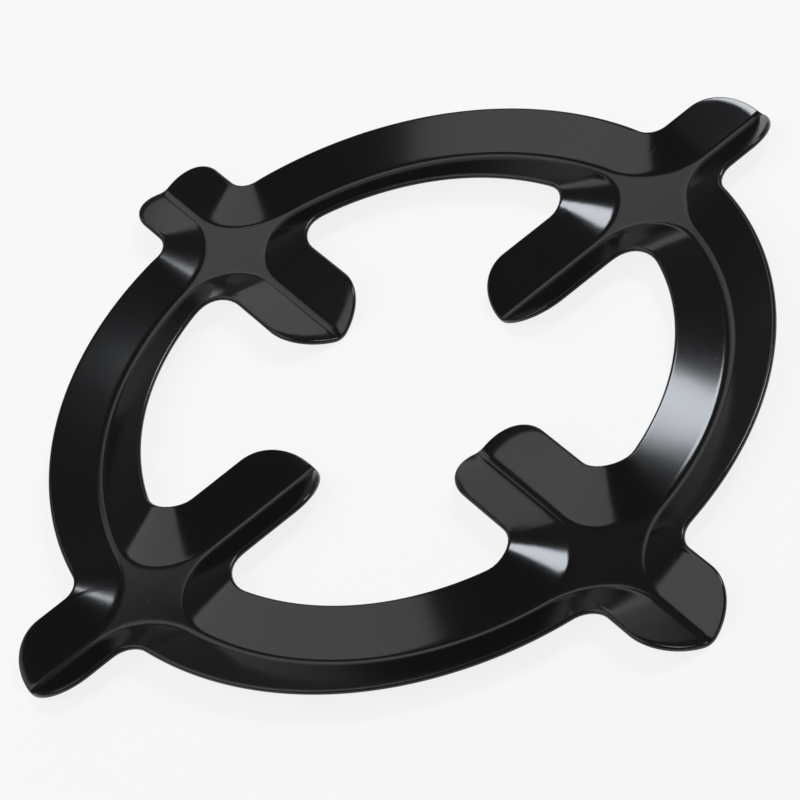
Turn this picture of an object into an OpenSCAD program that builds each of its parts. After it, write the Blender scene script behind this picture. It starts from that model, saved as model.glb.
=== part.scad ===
// Stove reducer ring: one enamelled steel pressing that carries a small pot on a gas hob.
// A round band and four radial arms are blanked from one sheet. A V crease is pressed
// along the middle of the band and along each arm, so every edge stands at one level.
// It lies with its hollow side up, on the creases. Millimetres, Z up, origin on the floor
// at the centre.

/* [Ring] */
// Outside diameter of the ring band
ring_d = 120; // [100:1:150]
// Width of the ring band, seen from above
ring_w = 15.8; // [12:0.2:20]

/* [Arms] */
// Number of arms
arms = 4; // [3:1:6]
// Width of an arm, seen from above
arm_w = 15.9; // [10:0.1:20]
// How far an arm stands out past the ring's outer edge
outer_tab = 15.6; // [12:0.1:30]
// How far an arm reaches in past the ring's inner edge
inner_tab = 24.9; // [17:0.1:32]

/* [Corners] */
// Radius of the corner between an arm and the ring's outer edge
outer_fillet = 3.9; // [1:0.1:7]
// Radius of the corner between an arm and the ring's inner edge
inner_fillet = 4.9; // [1:0.1:9]

/* [Pressing] */
// Thickness of the enamelled sheet
sheet = 0.8; // [0.5:0.05:1.5]
// Radius of every crease, at the middle of the sheet
crease_r = 2.6; // [1:0.1:5]
// Slope of the sheet from a crease up to the edges, in degrees
flank = 25.5; // [8:0.5:35]
// Depth of the rounding along the cut edge
edge_round = 0.25; // [0.05:0.05:0.45]

/* [Hidden] */

// Steps of the lofted surface
crease_steps = 2;
tip_steps = 6;
fillet_steps = 4;
arc_step = 7;
flank_steps = 6;
// How much a long strip crowds its steps towards the crossing
crowding = 0.35;
// How far the strips of an arm draw together from its side to the crossing
gather = 0.25;
// Distance over which the slope of the sheet is measured
probe = 0.01;

outer_r = ring_d / 2;
inner_r = outer_r - ring_w;
crease_circle = outer_r - ring_w / 2;
half_turn = 180 / arms;

// Half the width of the rounded bottom of a crease
bend = crease_r * sin(flank);

// Height of the sheet's side above its crease, at the distance d from the crease line
function groove(d) =
    d < bend
        ? crease_r - sqrt(crease_r * crease_r - d * d)
        : crease_r * (1 - cos(flank)) + (d - bend) * tan(flank);

// Distance from the creases, for a point u from the ring crease and v from an arm crease.
// Round each corner of the outline the side keeps its width, so where two creases cross
// they widen into a flat with hollow sides, concentric with the corners.
function from_crease(u, v, fillet) =
    let (r = (ring_w + arm_w) / 4 + fillet)
    max(0, r - norm([max(0, r - u), max(0, r - v)]));

// Height of the middle of the sheet, over a point of the arm along +X
function middle_z(x, y) =
    let (u = norm([x, y]) - crease_circle)
    sheet / 2 + groove(from_crease(abs(u), abs(y), u > 0 ? outer_fillet : inner_fillet));

// Point of the sheet over [x, y], moved off the middle by t along the sheet's normal
function skin(p, t) =
    let (sx = (middle_z(p.x + probe, p.y) - middle_z(p.x - probe, p.y)) / (2 * probe),
         sy = (middle_z(p.x, p.y + probe) - middle_z(p.x, p.y - probe)) / (2 * probe),
         n = [-sx, -sy, 1] / norm([-sx, -sy, 1]))
    [p.x, p.y, middle_z(p.x, p.y)] + t * n;

// Turns round an arm's end: close together over the crease, then even out to the side
crease_turn = asin(bend / (arm_w / 2));
tip_turns = concat(
    [for (i = [0:crease_steps]) crease_turn * i / crease_steps],
    [for (i = [1:tip_steps]) crease_turn + (90 - crease_turn) * i / tip_steps]);

// Where the corner radius f meets an arm w wide on each side and a circle of radius r
function outer_corner(r, w, f) = [sqrt(pow(r + f, 2) - pow(w + f, 2)), w + f];
function inner_corner(r, w, f) = [sqrt(pow(r - f, 2) - pow(w + f, 2)), w + f];
function turn_of(p) = atan2(p.y, p.x);

outer_start = turn_of(outer_corner(outer_r, arm_w / 2, outer_fillet));
inner_start = turn_of(inner_corner(inner_r, arm_w / 2, inner_fillet));
arc_steps = ceil((half_turn - outer_start) / arc_step);
function arc_turn(i, start) = start + (half_turn - start) * i / arc_steps;

// Outer edge, drawn in by an inset, from the arm's tip to half way to the next arm
function outer_edge(inset) =
    let (r = outer_r - inset, w = arm_w / 2 - inset, f = outer_fillet + inset,
         tip = outer_r + outer_tab - arm_w / 2,
         c = outer_corner(r, w, f), start = turn_of(c))
    concat(
        [for (a = tip_turns) [tip, 0] + w * [cos(a), sin(a)]],
        [for (i = [0:fillet_steps])
            let (a = 270 - (90 - start) * i / fillet_steps) c + f * [cos(a), sin(a)]],
        [for (i = [1:arc_steps])
            let (a = arc_turn(i, start)) r * [cos(a), sin(a)]]);

// Inner edge, drawn in by an inset, from the arm's tip to half way to the next arm
function inner_edge(inset) =
    let (r = inner_r + inset, w = arm_w / 2 - inset, f = inner_fillet + inset,
         tip = inner_r - inner_tab + arm_w / 2,
         c = inner_corner(r, w, f), start = turn_of(c))
    concat(
        [for (a = tip_turns) [tip, 0] + w * [-cos(a), sin(a)]],
        [for (i = [0:fillet_steps])
            let (a = -90 + (90 + start) * i / fillet_steps) c + f * [cos(a), sin(a)]],
        [for (i = [1:arc_steps])
            let (a = arc_turn(i, start)) r * [cos(a), sin(a)]]);

// Ring crease, with one point for each point of the edges
ring_crease =
    let (arc_start = (outer_start + inner_start) / 2,
         side_turn = asin((1 - gather) * arm_w / 2 / crease_circle))
    concat(
        [for (a = tip_turns)
            let (y = arm_w / 2 * sin(a) * (1 - gather * pow(sin(a), 2)))
            [sqrt(crease_circle * crease_circle - y * y), y]],
        [for (i = [0:fillet_steps])
            let (a = side_turn + (arc_start - side_turn) * (i + 1) / (fillet_steps + 1))
            crease_circle * [cos(a), sin(a)]],
        [for (i = [1:arc_steps])
            let (a = arc_turn(i, arc_start)) crease_circle * [cos(a), sin(a)]]);

// Step j of a strip from the crease point a to the edge point b
function flank_point(a, b, j) =
    let (crowd = 1 + crowding * (norm(b - a) / (ring_w / 2) - 1))
    a + (b - a) * pow(j / flank_steps, max(1, crowd));

// One closed section of the sheet: the hollow side outwards, then the underside back
outer_skin = outer_edge(edge_round);
inner_skin = inner_edge(edge_round);
outer_rim = outer_edge(0);
inner_rim = inner_edge(0);
function strip(i) = concat(
    [for (j = [flank_steps:-1:0]) flank_point(ring_crease[i], inner_skin[i], j)],
    [for (j = [1:flank_steps]) flank_point(ring_crease[i], outer_skin[i], j)]);
function section(i) =
    let (line = strip(i), last = len(line) - 1)
    concat(
        [skin(inner_rim[i], 0)],
        [for (p = line) skin(p, sheet / 2)],
        [skin(outer_rim[i], 0)],
        [for (j = [last:-1:0]) skin(line[j], -sheet / 2)]);

// The section i of an arm, on one side of it or the other, turned to the arm's place
function placed(points, side, turn) =
    [for (p = points)
        let (y = side * p.y)
        [p.x * cos(turn) - y * sin(turn), p.x * sin(turn) + y * cos(turn), p.z]];

// All sections in order round the ring, joined into one closed skin
module pressed_sheet() {
    last = len(ring_crease) - 1;
    half = [for (i = [0:last]) section(i)];
    sections = [for (k = [0:arms - 1]) each concat(
        [for (i = [last:-1:1]) placed(half[i], -1, 2 * half_turn * k)],
        [for (i = [0:last - 1]) placed(half[i], 1, 2 * half_turn * k)])];
    n = len(sections);
    m = len(half[0]);
    points = [for (s = sections) each s];
    faces = [for (i = [0:n - 1]) for (j = [0:m - 1])
        let (a = i * m + j, b = i * m + (j + 1) % m,
             c = (i + 1) % n * m + (j + 1) % m, d = (i + 1) % n * m + j)
        each [[a, b, c], [a, c, d]]];
    polyhedron(points, faces);
}

module reducer_ring() {
    color("#232326")
        pressed_sheet();
}

reducer_ring();
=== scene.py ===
"""Stove reducer ring: a pressed steel ring in glossy black vitreous enamel.

The blank of one arm, with its share of the band, is cut flat. The node tree
"Press and repeat" lifts it into its creases, repeats it round the ring and joins
the blanks. Metres, Z up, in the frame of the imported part.
"""

import math

import bpy
from bpy.props import FloatProperty, FloatVectorProperty, IntProperty, PointerProperty
from mathutils import Euler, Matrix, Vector


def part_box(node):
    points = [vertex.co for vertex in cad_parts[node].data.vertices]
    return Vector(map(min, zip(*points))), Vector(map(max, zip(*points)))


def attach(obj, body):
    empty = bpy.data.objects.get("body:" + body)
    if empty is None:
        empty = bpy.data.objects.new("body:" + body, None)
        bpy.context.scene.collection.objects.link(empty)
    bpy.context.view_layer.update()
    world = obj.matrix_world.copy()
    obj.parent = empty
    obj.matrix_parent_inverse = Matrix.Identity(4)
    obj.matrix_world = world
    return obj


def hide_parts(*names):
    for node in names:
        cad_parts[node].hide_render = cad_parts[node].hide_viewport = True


bl_info = {
    "name": "Stove Reducer Ring",
    "version": (1, 0, 0),
    "blender": (4, 5, 0),
    "location": "3D View > Sidebar > Reducer Ring",
    "description": "Presses and enamels a stove reducer ring and sets up its stage",
    "category": "Add Mesh",
}

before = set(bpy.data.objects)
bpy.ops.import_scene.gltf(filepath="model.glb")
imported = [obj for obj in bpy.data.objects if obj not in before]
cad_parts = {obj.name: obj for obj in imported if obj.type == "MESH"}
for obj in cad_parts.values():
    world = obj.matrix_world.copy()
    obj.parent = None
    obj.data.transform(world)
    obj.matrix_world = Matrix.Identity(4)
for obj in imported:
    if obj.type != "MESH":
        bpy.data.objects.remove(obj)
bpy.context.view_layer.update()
RING_LOW, RING_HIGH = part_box("reducer_ring")
TIP_TO_TIP = RING_HIGH.x - RING_LOW.x

MM = 0.001
RING_DIAMETER = 120 * MM

# Steps of the blank: columns run along the cut edge, rows from the crease to the edge
CREASE_COLUMNS = 4
TIP_COLUMNS = 20
CORNER_COLUMNS = 10
BAND_COLUMNS = 42
NEAR_ROWS = 28
FAR_ROWS = 7
UNDER_NEAR_ROWS = 22
UNDER_FAR_ROWS = 5
EDGE_ROWS = 4
# How far from a crossing the rows stay close together
CROSSING_REACH = 12 * MM
# How far the columns of an arm draw together from its side to the crossing
GATHER = 0.25
# Distance over which the slope of the sheet is measured
PROBE = 0.05 * MM
# Points of neighbouring blanks closer than this are one point
SEAM = 0.001 * MM


class ReducerRingSizes(bpy.types.PropertyGroup):
    """Sizes of the pressing."""

    ring_diameter: FloatProperty(
        name="Ring diameter", description="Outside diameter of the ring band",
        default=RING_DIAMETER, unit="LENGTH", precision=5)
    ring_width: FloatProperty(
        name="Ring width", description="Width of the ring band, seen from above",
        default=15.8 * MM, unit="LENGTH", precision=5)
    arms: IntProperty(
        name="Arms", description="Number of arms", default=4, min=3, max=6)
    arm_width: FloatProperty(
        name="Arm width", description="Width of an arm, seen from above",
        default=15.9 * MM, unit="LENGTH", precision=5)
    outer_tab: FloatProperty(
        name="Outer tab", description="How far an arm stands out past the ring",
        default=(TIP_TO_TIP - RING_DIAMETER) / 2, unit="LENGTH", precision=5)
    inner_tab: FloatProperty(
        name="Inner tab", description="How far an arm reaches in past the ring",
        default=24.9 * MM, unit="LENGTH", precision=5)
    outer_fillet: FloatProperty(
        name="Outer corner", description="Corner radius between an arm and the outer edge",
        default=3.9 * MM, unit="LENGTH", precision=5)
    inner_fillet: FloatProperty(
        name="Inner corner", description="Corner radius between an arm and the inner edge",
        default=4.9 * MM, unit="LENGTH", precision=5)
    sheet: FloatProperty(
        name="Sheet", description="Thickness of the enamelled sheet",
        default=0.8 * MM, unit="LENGTH", precision=5)
    crease_radius: FloatProperty(
        name="Crease radius", description="Radius of every crease at the middle of the sheet",
        default=2.6 * MM, unit="LENGTH", precision=5)
    flank: FloatProperty(
        name="Flank slope", description="Slope of the sheet from a crease to the edges",
        default=math.radians(25.5), subtype="ANGLE")
    edge_round: FloatProperty(
        name="Edge rounding", description="Depth of the rounding along the cut edge",
        default=0.25 * MM, unit="LENGTH", precision=5)
    unevenness: FloatProperty(
        name="Unevenness", description="How far the pressed sheet strays from its true shape",
        default=0.03 * MM, unit="LENGTH", precision=6)


class ReducerRingEnamel(bpy.types.PropertyGroup):
    """Look of the enamel."""

    black: FloatVectorProperty(
        name="Black", description="Colour of the enamel",
        subtype="COLOR", size=3, default=(0.0055, 0.0055, 0.0058), min=0, max=1)
    speck_colour: FloatVectorProperty(
        name="Speck colour", description="Colour of the fine specks fired into the enamel",
        subtype="COLOR", size=3, default=(0.09, 0.085, 0.08), min=0, max=1)
    # Lighter colour on the rounded cut edge: partly the enamel running thin there, partly a painted highlight line
    # along the edge
    thin_edge_and_sheen_colour: FloatVectorProperty(
        name="Edge colour", description="Colour where the enamel runs thin over the cut edge",
        subtype="COLOR", size=3, default=(0.02, 0.019, 0.018), min=0, max=1)
    roughness: FloatProperty(
        name="Roughness", description="Roughness of the enamel where it is clean",
        default=0.14, min=0, max=1)
    ripple: FloatProperty(
        name="Ripple", description="Height of the ripple of the fired surface",
        default=0.004 * MM, unit="LENGTH", precision=6)


class ReducerRingStage(bpy.types.PropertyGroup):
    """Floor, lamps and camera."""

    floor_colour: FloatVectorProperty(
        name="Floor colour", description="Colour of the pale floor",
        subtype="COLOR", size=3, default=(0.9, 0.9, 0.9), min=0, max=1)
    surround: FloatProperty(
        name="Surround", description="Strength of the light from all round",
        default=0.1, min=0)
    key: FloatProperty(
        name="Key", description="Radiance of the small soft box behind on the right",
        default=15.0, min=0)
    left: FloatProperty(
        name="Left", description="Radiance of the broad soft box above on the left",
        default=1.25, min=0)
    far: FloatProperty(
        name="Far", description="Radiance of the soft box behind the ring",
        default=0.8, min=0)
    low: FloatProperty(
        name="Low", description="Radiance of the low soft box behind on the right",
        default=0.7, min=0)


def feed(tree, socket, value):
    """Link a socket to another, or set it to a plain value."""
    if isinstance(value, bpy.types.NodeSocket):
        tree.links.new(value, socket)
    else:
        socket.default_value = value


def place(tree, kind, inputs=None, **settings):
    """Place a node beside the last one, with its settings and inputs."""
    node = tree.nodes.new(kind)
    count = len(tree.nodes) - 1
    node.location = (200 * (count // 5), -220 * (count % 5))
    for name, value in settings.items():
        setattr(node, name, value)
    for key, value in (inputs or {}).items():
        feed(tree, node.inputs[key], value)
    return node


def math_in(tree):
    """Return a function that places Math nodes, so that a rule reads as a formula."""
    def term(operation, *values):
        node = place(tree, "ShaderNodeMath", operation=operation)
        for socket, value in zip(node.inputs, values):
            feed(tree, socket, value)
        return node.outputs[0]
    return term


def new_tree(name, kind, inputs, outputs):
    """Make a node group with named sockets, and return it with its two end nodes."""
    tree = bpy.data.node_groups.new(name, kind)
    for in_out, sockets in (("INPUT", inputs), ("OUTPUT", outputs)):
        for socket_name, socket_type in sockets:
            tree.interface.new_socket(socket_name, in_out=in_out, socket_type=socket_type)
    return tree, place(tree, "NodeGroupInput"), place(tree, "NodeGroupOutput")


FLOAT, VECTOR = "NodeSocketFloat", "NodeSocketVector"

PRESS_SIZES = ("Crease Circle", "Side Reach", "Outer Corner", "Inner Corner",
               "Crease Radius", "Flank")


def pressed_height_tree():
    """Height of the sheet's middle over a point of the arm along +X.

    Round each corner of the outline the side keeps its width, so where two creases
    cross they widen into a flat with hollow sides.
    """
    tree, start, end = new_tree(
        "Pressed height", "GeometryNodeTree",
        [("Plan", VECTOR)] + [(name, FLOAT) for name in PRESS_SIZES],
        [("Height", FLOAT)])
    given = start.outputs
    term = math_in(tree)
    plan = place(tree, "ShaderNodeSeparateXYZ", {0: given["Plan"]}).outputs
    radius = term("SQRT", term("ADD", term("POWER", plan["X"], 2.0), term("POWER", plan["Y"], 2.0)))
    from_band = term("SUBTRACT", radius, given["Crease Circle"])
    outside = term("GREATER_THAN", from_band, 0.0)
    corner = term("ADD", given["Inner Corner"],
                  term("MULTIPLY", outside, term("SUBTRACT", given["Outer Corner"], given["Inner Corner"])))
    reach = term("ADD", given["Side Reach"], corner)
    band_gap = term("MAXIMUM", 0.0, term("SUBTRACT", reach, term("ABSOLUTE", from_band)))
    arm_gap = term("MAXIMUM", 0.0, term("SUBTRACT", reach, term("ABSOLUTE", plan["Y"])))
    gap = term("SQRT", term("ADD", term("POWER", band_gap, 2.0), term("POWER", arm_gap, 2.0)))
    from_crease = term("MAXIMUM", 0.0, term("SUBTRACT", reach, gap))
    bend = term("MULTIPLY", given["Crease Radius"], term("SINE", given["Flank"]))
    in_bend = term("MINIMUM", from_crease, bend)
    rounded = term("SUBTRACT", given["Crease Radius"],
                   term("SQRT", term("SUBTRACT", term("POWER", given["Crease Radius"], 2.0),
                                     term("POWER", in_bend, 2.0))))
    sloped = term("MULTIPLY", term("SUBTRACT", from_crease, in_bend), term("TANGENT", given["Flank"]))
    feed(tree, end.inputs["Height"], term("ADD", rounded, sloped))
    return tree


def press_and_repeat_tree():
    """Press a flat blank, repeat it round the ring and join the blanks."""
    tree, start, end = new_tree(
        "Press and repeat", "GeometryNodeTree",
        [("Geometry", "NodeSocketGeometry"), ("Arms", "NodeSocketInt"), ("Sheet", FLOAT)]
        + [(name, FLOAT) for name in PRESS_SIZES]
        + [("Unevenness", FLOAT), ("Unevenness Size", FLOAT), ("Probe", FLOAT), ("Seam", FLOAT),
           ("Material", "NodeSocketMaterial")],
        [("Geometry", "NodeSocketGeometry")])
    given = start.outputs
    term = math_in(tree)
    height_rule = pressed_height_tree()
    place_now = place(tree, "ShaderNodeSeparateXYZ",
                      {0: place(tree, "GeometryNodeInputPosition").outputs[0]}).outputs
    x, y, off_middle = place_now["X"], place_now["Y"], place_now["Z"]

    def height(at_x, at_y):
        plan = place(tree, "ShaderNodeCombineXYZ", {"X": at_x, "Y": at_y}).outputs[0]
        inputs = {"Plan": plan, **{name: given[name] for name in PRESS_SIZES}}
        node = tree.nodes.new("GeometryNodeGroup")
        node.node_tree = height_rule
        for key, value in inputs.items():
            feed(tree, node.inputs[key], value)
        return node.outputs["Height"]

    def fall(lower, higher):
        return term("DIVIDE", term("SUBTRACT", lower, higher), term("MULTIPLY", 2.0, given["Probe"]))

    probe = given["Probe"]
    fall_x = fall(height(term("SUBTRACT", x, probe), y), height(term("ADD", x, probe), y))
    fall_y = fall(height(x, term("SUBTRACT", y, probe)), height(x, term("ADD", y, probe)))
    upward = place(tree, "ShaderNodeCombineXYZ", {"X": fall_x, "Y": fall_y, "Z": 1.0}).outputs[0]
    normal = place(tree, "ShaderNodeVectorMath", {0: upward}, operation="NORMALIZE").outputs[0]
    middle = place(tree, "ShaderNodeCombineXYZ", {
        "X": x, "Y": y,
        "Z": term("ADD", height(x, y), term("MULTIPLY", given["Sheet"], 0.5))}).outputs[0]
    offset = place(tree, "ShaderNodeVectorMath", {0: normal, "Scale": off_middle}, operation="SCALE")
    pressed_place = place(tree, "ShaderNodeVectorMath", {0: middle, 1: offset.outputs[0]}, operation="ADD")
    # Share across the rounded cut edge, which the enamel paints lighter: thin enamel there, and partly a painted
    # highlight along the edge
    rim = term("SUBTRACT", 1.0, term("DIVIDE", term("ABSOLUTE", off_middle),
                                     term("MULTIPLY", given["Sheet"], 0.5)))
    marked = place(tree, "GeometryNodeStoreNamedAttribute", {
        "Geometry": given["Geometry"], "Name": "cut_edge", "Value": rim},
        data_type="FLOAT", domain="POINT")
    pressed = place(tree, "GeometryNodeSetPosition", {
        "Geometry": marked.outputs[0], "Position": pressed_place.outputs[0]})

    places = place(tree, "GeometryNodePoints", {"Count": given["Arms"]})
    turn = term("DIVIDE", term("MULTIPLY", place(tree, "GeometryNodeInputIndex").outputs[0], math.tau),
                given["Arms"])
    turned = place(tree, "ShaderNodeCombineXYZ", {"Z": turn}).outputs[0]
    arms = place(tree, "GeometryNodeInstanceOnPoints", {
        "Points": places.outputs[0], "Instance": pressed.outputs[0], "Rotation": turned})
    realized = place(tree, "GeometryNodeRealizeInstances", {"Geometry": arms.outputs[0]})
    joined = place(tree, "GeometryNodeMergeByDistance", {
        "Geometry": realized.outputs[0], "Distance": given["Seam"]})
    stray = place(tree, "ShaderNodeTexNoise", {
        "Scale": term("DIVIDE", 1.0, given["Unevenness Size"]), "Detail": 1.0, "W": 3.7},
        noise_dimensions="4D")
    lift = term("MULTIPLY", given["Unevenness"],
                term("SUBTRACT", term("MULTIPLY", 2.0, stray.outputs[0]), 1.0))
    uneven = place(tree, "GeometryNodeSetPosition", {
        "Geometry": joined.outputs[0],
        "Offset": place(tree, "ShaderNodeCombineXYZ", {"Z": lift}).outputs[0]})
    smooth = place(tree, "GeometryNodeSetShadeSmooth", {"Geometry": uneven.outputs[0]})
    enamelled = place(tree, "GeometryNodeSetMaterial", {
        "Geometry": smooth.outputs[0], "Material": given["Material"]})
    feed(tree, end.inputs["Geometry"], enamelled.outputs[0])
    return tree


def corner_centre(radius, half_width, fillet, way):
    """Centre of the corner arc between an arm's side and an edge of the band."""
    across = half_width + fillet
    return Vector((math.sqrt((radius + way * fillet) ** 2 - across ** 2), across))


def cut_edge(sizes, way, inset):
    """Points of the outer (way 1) or inner (way -1) cut edge, drawn in by an inset.

    They run from the middle of the arm's tip to half way to the next arm.
    """
    outer = sizes.ring_diameter / 2
    inner = outer - sizes.ring_width
    half_width = sizes.arm_width / 2 - inset
    if way > 0:
        radius, fillet = outer - inset, sizes.outer_fillet + inset
        tip = outer + sizes.outer_tab - sizes.arm_width / 2
    else:
        radius, fillet = inner + inset, sizes.inner_fillet + inset
        tip = inner - sizes.inner_tab + sizes.arm_width / 2
    centre = corner_centre(radius, half_width, fillet, way)
    first = math.atan2(centre.y, centre.x)
    points = [Vector((tip + way * half_width * math.cos(a), half_width * math.sin(a)))
              for a in tip_turns(sizes)]
    for i in range(CORNER_COLUMNS + 1):
        a = -math.pi / 2 - way * (math.pi / 2 - way * first) * i / CORNER_COLUMNS
        points.append(centre + fillet * Vector((math.cos(a), math.sin(a))))
    return points + band_arc(radius, first, sizes.arms)


def tip_turns(sizes):
    """Turns round an arm's tip: close together over the crease, then even."""
    crease = math.asin(2 * sizes.crease_radius * math.sin(sizes.flank) / sizes.arm_width)
    return ([crease * i / CREASE_COLUMNS for i in range(CREASE_COLUMNS)]
            + [crease + (math.pi / 2 - crease) * i / TIP_COLUMNS for i in range(TIP_COLUMNS + 1)])


def band_arc(radius, first, arms):
    """Points of an arc of the band, from just past the turn first to half way round."""
    turns = [first + (math.pi / arms - first) * i / BAND_COLUMNS for i in range(1, BAND_COLUMNS + 1)]
    return [Vector((radius * math.cos(a), radius * math.sin(a))) for a in turns]


def band_crease(sizes):
    """Points of the band's crease, one for each point of a cut edge."""
    circle = (sizes.ring_diameter - sizes.ring_width) / 2
    half_width = sizes.arm_width / 2
    outer = sizes.ring_diameter / 2
    corners = (corner_centre(outer, half_width, sizes.outer_fillet, 1),
               corner_centre(outer - sizes.ring_width, half_width, sizes.inner_fillet, -1))
    arc_first = sum(math.atan2(c.y, c.x) for c in corners) / 2
    side = math.asin((1 - GATHER) * half_width / circle)
    points = []
    for a in tip_turns(sizes):
        y = half_width * math.sin(a) * (1 - GATHER * math.sin(a) ** 2)
        points.append(Vector((math.sqrt(circle ** 2 - y ** 2), y)))
    for i in range(1, CORNER_COLUMNS + 2):
        a = side + (arc_first - side) * i / (CORNER_COLUMNS + 2)
        points.append(Vector((circle * math.cos(a), circle * math.sin(a))))
    return points + band_arc(circle, arc_first, sizes.arms)


def flank_points(crease, edge, near_rows, far_rows):
    """Points from a crease to an edge: close together near the crossing."""
    span = edge - crease
    rows = near_rows + far_rows
    near = min(CROSSING_REACH / span.length, near_rows / rows)
    shares = ([near * j / near_rows for j in range(near_rows)]
              + [near + (1 - near) * j / far_rows for j in range(far_rows + 1)])
    return [crease + span * share for share in shares]


def blank_rounds(sizes):
    """Closed rounds of points across half a blank, from the arm's middle line outwards.

    Each round runs over the top of the flat sheet, round the outer cut edge, back
    along the underside and round the inner cut edge.
    """
    half = sizes.sheet / 2
    turns = [math.pi / 2 * k / EDGE_ROWS for k in range(EDGE_ROWS + 1)]
    insets = [sizes.edge_round * (1 - math.cos(a)) for a in turns]
    outer = [cut_edge(sizes, 1, inset) for inset in insets]
    inner = [cut_edge(sizes, -1, inset) for inset in insets]
    rounds = []
    for i, crease in enumerate(band_crease(sizes)):
        faces = []
        for side, near_rows, far_rows in ((1, NEAR_ROWS, FAR_ROWS), (-1, UNDER_NEAR_ROWS, UNDER_FAR_ROWS)):
            inwards = flank_points(crease, inner[-1][i], near_rows, far_rows)
            outwards = flank_points(crease, outer[-1][i], near_rows, far_rows)
            faces.append([(*p, side * half) for p in inwards[::-1] + outwards[1:]])
        steps = range(EDGE_ROWS - 1, -EDGE_ROWS, -1)
        outer_round = [(*outer[abs(k)][i], math.copysign(half * math.sin(turns[abs(k)]), k)) for k in steps]
        inner_round = [(*inner[abs(k)][i], math.copysign(half * math.sin(turns[abs(k)]), k)) for k in steps]
        rounds.append(faces[0] + outer_round + faces[1][::-1] + inner_round[::-1])
    return rounds


def cut_blank(sizes):
    """Mesh of the flat blank of one arm, open only where it meets its neighbours."""
    half = blank_rounds(sizes)
    mirrored = [[(x, -y, z) for x, y, z in points] for points in half[:0:-1]]
    rounds = mirrored + half
    size = len(rounds[0])
    faces = []
    for i in range(len(rounds) - 1):
        for j in range(size):
            a, b = i * size + j, i * size + (j + 1) % size
            faces.append((a, b, b + size, a + size))
    blank = bpy.data.meshes.new("arm_blank")
    blank.from_pydata([p for points in rounds for p in points], [], faces)
    return blank


def fired_surface_tree():
    """Shader group: ripple, haze and specks of a fired enamel surface."""
    tree, start, end = new_tree(
        "Fired surface", "ShaderNodeTree",
        [("Coordinates", VECTOR), ("Ripple Size", FLOAT), ("Haze Size", FLOAT),
         ("Speck Spacing", FLOAT), ("Speck Share", FLOAT)],
        [("Ripple", FLOAT), ("Haze", FLOAT), ("Specks", FLOAT)])
    given = start.outputs
    term = math_in(tree)
    ripple = place(tree, "ShaderNodeTexNoise", {
        "Vector": given["Coordinates"], "Scale": term("DIVIDE", 1.0, given["Ripple Size"]),
        "Detail": 2.0, "Roughness": 0.4})
    haze = place(tree, "ShaderNodeTexNoise", {
        "Vector": given["Coordinates"], "Scale": term("DIVIDE", 1.0, given["Haze Size"]),
        "Detail": 4.0, "Roughness": 0.6})
    cells = place(tree, "ShaderNodeTexVoronoi", {
        "Vector": given["Coordinates"], "Scale": term("DIVIDE", 1.0, given["Speck Spacing"])})
    chance = place(tree, "ShaderNodeSeparateColor", {0: cells.outputs["Color"]}).outputs
    chosen = term("LESS_THAN", chance[0], given["Speck Share"])
    size = term("MULTIPLY_ADD", chance[1], 0.05, 0.03)
    dot = term("SUBTRACT", 1.0, place(tree, "ShaderNodeMapRange", {
        "Value": cells.outputs["Distance"], "From Min": term("MULTIPLY", size, 0.6), "From Max": size}).outputs[0])
    feed(tree, end.inputs["Ripple"], ripple.outputs[0])
    feed(tree, end.inputs["Haze"], haze.outputs[0])
    feed(tree, end.inputs["Specks"], term("MULTIPLY", chosen, dot))
    return tree


def group_node(tree, group, inputs):
    """Place a shader group with its named inputs."""
    node = tree.nodes.new("ShaderNodeGroup")
    node.node_tree = group
    for key, value in inputs.items():
        feed(tree, node.inputs[key], value)
    return node


def mix_colour(tree, share, first, second):
    """Place a colour mix and return its result."""
    node = place(tree, "ShaderNodeMix", data_type="RGBA")
    feed(tree, node.inputs["Factor"], share)
    colours = [s for s in node.inputs if s.type == "RGBA"]
    feed(tree, colours[0], first)
    feed(tree, colours[1], second)
    return next(s for s in node.outputs if s.type == "RGBA")


def black_enamel(look):
    """Glossy black vitreous enamel with a faint ripple, haze and fine specks."""
    material = bpy.data.materials.new("black_enamel")
    material.use_nodes = True
    tree = material.node_tree
    tree.nodes.clear()
    term = math_in(tree)
    coordinates = place(tree, "ShaderNodeTexCoord").outputs["Object"]
    fired = group_node(tree, fired_surface_tree(), {
        "Coordinates": coordinates, "Ripple Size": 3.5 * MM, "Haze Size": 16 * MM,
        "Speck Spacing": 1.6 * MM, "Speck Share": 0.1}).outputs
    # The cut edge is painted lighter: partly thin enamel, partly a painted highlight line along the edge
    cut = place(tree, "ShaderNodeAttribute", attribute_name="cut_edge").outputs["Fac"]
    glaze = mix_colour(tree, cut, (*look.black, 1), (*look.thin_edge_and_sheen_colour, 1))
    colour = mix_colour(tree, fired["Specks"], glaze, (*look.speck_colour, 1))
    roughness = term("ADD", term("MULTIPLY_ADD", fired["Haze"], 0.06, look.roughness - 0.03),
                     term("MULTIPLY", fired["Specks"], 0.2))
    relief = term("ADD", fired["Ripple"], term("MULTIPLY", fired["Specks"], 0.4))
    bump = place(tree, "ShaderNodeBump", {"Height": relief, "Strength": 1.0, "Distance": look.ripple})
    shader = place(tree, "ShaderNodeBsdfPrincipled", {
        "Base Color": colour, "Roughness": roughness, "Normal": bump.outputs[0], "IOR": 1.5})
    output = place(tree, "ShaderNodeOutputMaterial")
    tree.links.new(shader.outputs[0], output.inputs["Surface"])
    return material


def set_inputs(modifier, values):
    """Set a node modifier's named inputs by their identifiers."""
    sockets = {item.name: item.identifier for item in modifier.node_group.interface.items_tree
               if item.item_type == "SOCKET" and item.in_out == "INPUT"}
    for name, value in values.items():
        modifier[sockets[name]] = value


def made_plain(piece):
    """Turn a piece's evaluated shape into its own plain mesh."""
    graph = bpy.context.evaluated_depsgraph_get()
    plain = bpy.data.meshes.new_from_object(
        piece.evaluated_get(graph), preserve_all_data_layers=True, depsgraph=graph)
    piece.modifiers.clear()
    piece.data = plain
    plain.name = piece.name


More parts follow.
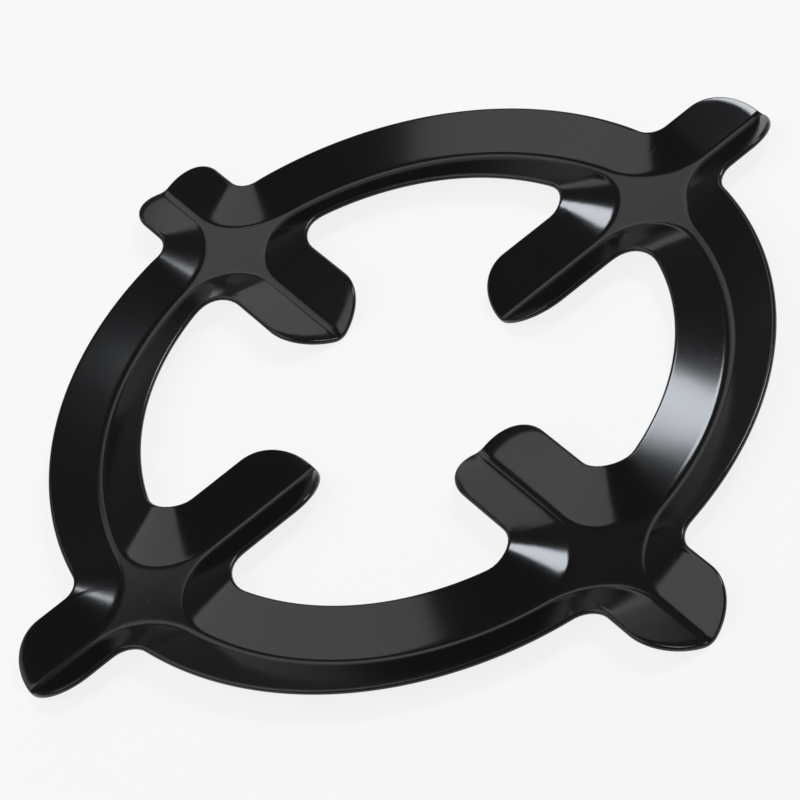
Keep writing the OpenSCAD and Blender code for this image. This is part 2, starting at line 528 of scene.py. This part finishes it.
class REDUCER_OT_press_ring(bpy.types.Operator):
    """Cut the blank, press it, repeat it round the ring and enamel it"""

    bl_idname = "reducer.press_ring"
    bl_label = "Press Ring"

    def execute(self, context):
        sizes = context.scene.reducer_sizes
        ring = bpy.data.objects.new("enamelled_ring", cut_blank(sizes))
        context.collection.objects.link(ring)
        modifier = ring.modifiers.new("Press and repeat", "NODES")
        modifier.node_group = press_and_repeat_tree()
        set_inputs(modifier, {
            "Arms": sizes.arms, "Sheet": sizes.sheet,
            "Crease Circle": (sizes.ring_diameter - sizes.ring_width) / 2,
            "Side Reach": (sizes.ring_width + sizes.arm_width) / 4,
            "Outer Corner": sizes.outer_fillet, "Inner Corner": sizes.inner_fillet,
            "Crease Radius": sizes.crease_radius, "Flank": sizes.flank,
            "Unevenness": sizes.unevenness, "Unevenness Size": 14 * MM,
            "Probe": PROBE, "Seam": SEAM,
            "Material": black_enamel(context.scene.reducer_enamel)})
        made_plain(ring)
        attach(ring, "root")
        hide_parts("reducer_ring")
        return {"FINISHED"}


def add_panel(name, place_at, aim, width, depth, radiance, colour=(1, 1, 1)):
    """Hang a soft box that faces a point, with the radiance that it shows."""
    lamp = bpy.data.lights.new(name, "AREA")
    lamp.shape = "RECTANGLE"
    lamp.size, lamp.size_y = width, depth
    lamp.energy = radiance * math.pi * width * depth
    lamp.color = colour
    panel = bpy.data.objects.new(name, lamp)
    bpy.context.collection.objects.link(panel)
    panel.location = place_at
    panel.rotation_euler = (Vector(aim) - Vector(place_at)).to_track_quat("-Z", "Y").to_euler()
    panel.visible_camera = False
    return panel


def pale_floor(colour):
    """Pale floor: white to the camera and in reflections, with a soft shadow kept."""
    material = bpy.data.materials.new("pale_floor")
    material.use_nodes = True
    tree = material.node_tree
    tree.nodes.clear()
    term = math_in(tree)
    rays = place(tree, "ShaderNodeLightPath").outputs
    seen = term("MAXIMUM", rays["Is Camera Ray"], rays["Is Glossy Ray"])
    paper = place(tree, "ShaderNodeBsdfDiffuse", {"Color": (*colour, 1)})
    glow = place(tree, "ShaderNodeEmission", {"Color": (1, 1, 1, 1), "Strength": 1.0})
    shown = place(tree, "ShaderNodeMixShader", {
        0: term("MULTIPLY", seen, 0.85), 1: paper.outputs[0], 2: glow.outputs[0]})
    output = place(tree, "ShaderNodeOutputMaterial")
    tree.links.new(shown.outputs[0], output.inputs["Surface"])
    return material


class REDUCER_OT_set_stage(bpy.types.Operator):
    """Lay the pale floor, hang the soft lights and place the camera"""

    bl_idname = "reducer.set_stage"
    bl_label = "Set Stage"

    def execute(self, context):
        scene = context.scene
        stage = scene.reducer_stage
        reach = 20 * TIP_TO_TIP
        mesh = bpy.data.meshes.new("floor")
        mesh.from_pydata([(-reach, -reach, 0), (reach, -reach, 0), (reach, reach, 0), (-reach, reach, 0)],
                         [], [(0, 1, 2, 3)])
        floor = bpy.data.objects.new("floor", mesh)
        mesh.materials.append(pale_floor(stage.floor_colour))
        context.collection.objects.link(floor)

        add_panel("key_panel", (0.456, 0.022, 0.553), (0.031, -0.036, 0), 0.2, 0.2,
                  stage.key, KEY_COLOUR)
        add_panel("left_panel", (-0.33, 0.15, 0.48), (0, 0, 0), 0.6, 0.56, stage.left)
        add_panel("far_panel", (0.155, 0.478, 0.345), (0, 0, 0), 0.34, 0.25, stage.far)
        add_panel("low_panel", (0.477, 0.475, 0.188), (0, 0, 0), 0.25, 0.12, stage.low)

        world = bpy.data.worlds.new("studio")
        world.use_nodes = True
        scene.world = world
        tree = world.node_tree
        tree.nodes.clear()
        rays = place(tree, "ShaderNodeLightPath").outputs
        seen = place(tree, "ShaderNodeBackground", {"Color": (1, 1, 1, 1), "Strength": 1.0})
        around = place(tree, "ShaderNodeBackground", {"Color": (1, 1, 1, 1), "Strength": stage.surround})
        mixed = place(tree, "ShaderNodeMixShader", {
            0: rays["Is Camera Ray"], 1: around.outputs[0], 2: seen.outputs[0]})
        output = place(tree, "ShaderNodeOutputWorld")
        tree.links.new(mixed.outputs[0], output.inputs["Surface"])

        camera_data = bpy.data.cameras.new("camera")
        camera_data.lens = CAMERA_LENS
        camera_data.sensor_width = CAMERA_SENSOR
        camera = bpy.data.objects.new("camera", camera_data)
        camera.location = CAMERA_PLACE
        camera.rotation_euler = Euler([math.radians(a) for a in CAMERA_TURNS])
        context.collection.objects.link(camera)
        scene.camera = camera
        scene.view_settings.view_transform = "Standard"
        return {"FINISHED"}


# Faintly blue light of the key panel
KEY_COLOUR = (0.88, 0.93, 1.0)

# The photograph's camera: its lens in millimetres, its place and its turns in degrees
CAMERA_LENS = 135.776
CAMERA_SENSOR = 36
CAMERA_PLACE = (-0.105124, -0.324669, 0.334599)
CAMERA_TURNS = (42.5408, 18.1374, -36.4001)


class REDUCER_PT_ring(bpy.types.Panel):
    """Sizes, finish and stage of the reducer ring"""

    bl_label = "Reducer Ring"
    bl_space_type = "VIEW_3D"
    bl_region_type = "UI"
    bl_category = "Reducer Ring"

    def draw(self, context):
        scene = context.scene
        for heading, group, operator in (
                ("Sizes", scene.reducer_sizes, None),
                ("Enamel", scene.reducer_enamel, REDUCER_OT_press_ring),
                ("Stage", scene.reducer_stage, REDUCER_OT_set_stage)):
            box = self.layout.box()
            box.label(text=heading)
            for name in group.__annotations__:
                box.prop(group, name)
            if operator:
                box.operator(operator.bl_idname)


CLASSES = (ReducerRingSizes, ReducerRingEnamel, ReducerRingStage,
           REDUCER_OT_press_ring, REDUCER_OT_set_stage, REDUCER_PT_ring)
GROUPS = {"reducer_sizes": ReducerRingSizes, "reducer_enamel": ReducerRingEnamel,
          "reducer_stage": ReducerRingStage}


def register():
    for cls in CLASSES:
        bpy.utils.register_class(cls)
    for name, group in GROUPS.items():
        setattr(bpy.types.Scene, name, PointerProperty(type=group))


def unregister():
    for name in GROUPS:
        delattr(bpy.types.Scene, name)
    for cls in reversed(CLASSES):
        bpy.utils.unregister_class(cls)


def main():
    register()
    bpy.ops.reducer.press_ring()
    bpy.ops.reducer.set_stage()


if __name__ == "__main__":
    main()
